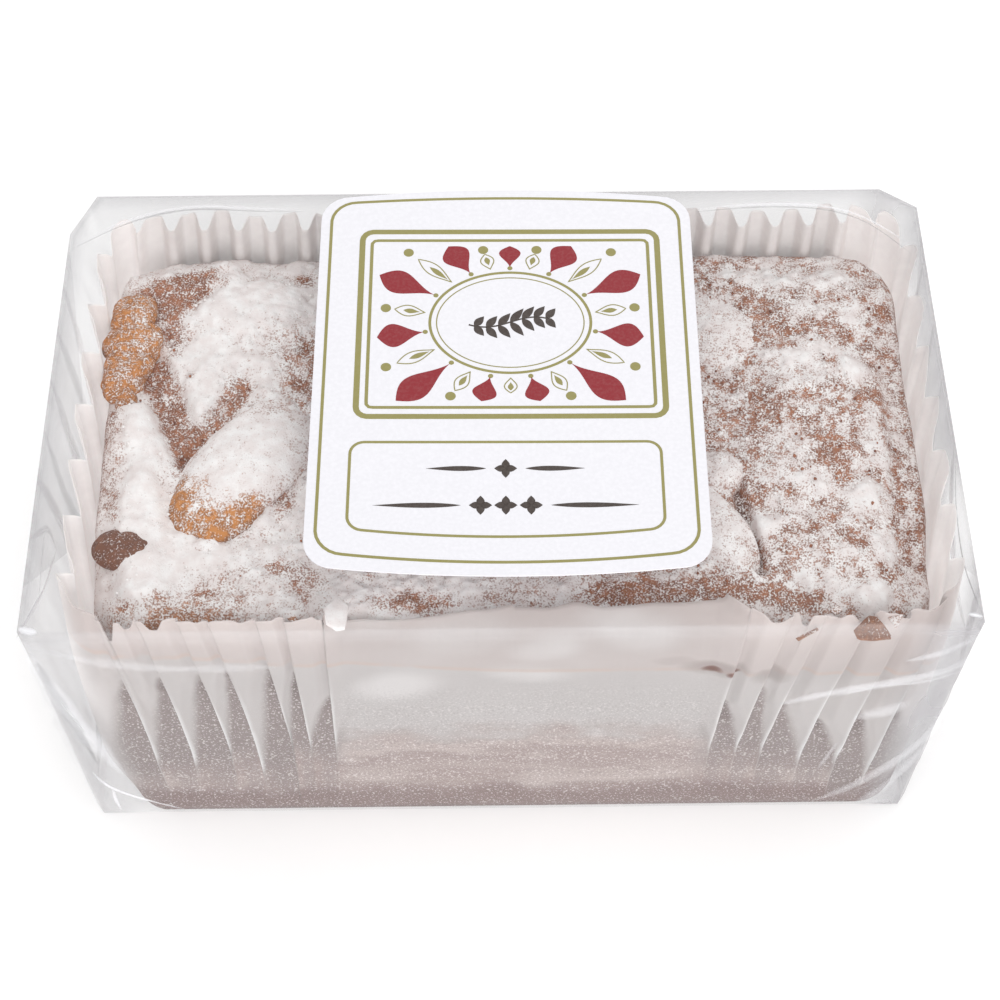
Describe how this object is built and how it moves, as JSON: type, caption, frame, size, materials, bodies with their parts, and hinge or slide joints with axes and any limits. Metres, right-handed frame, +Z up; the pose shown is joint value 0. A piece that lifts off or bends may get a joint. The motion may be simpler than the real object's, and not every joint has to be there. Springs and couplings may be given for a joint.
{
  "type": "wrapped loaf cake",
  "caption": "Sugar-dusted cherry fruit cake loaf in a pleated paper case, sealed in clear film with folded ends and a paper label on top.",
  "frame": {"origin": "under the middle of the pack, on the surface it stands on", "axes": "+Z up, +X along the loaf, -Y towards the front, where the long side shows"},
  "size_m": [0.1698, 0.1038, 0.0756],
  "materials": {
    "film": "clear crinkled film over a cake in white paper",
    "label": "coated white paper sticker",
    "cake": "baked brown crust, matte",
    "sugar": "icing sugar, matte",
    "paper": "greaseproof paper, translucent, slightly waxy",
    "print": "printed ink on the label"
  },
  "bodies": {
    "root": {"wrap": "film", "label": "label"}
  },
  "joints": []
}
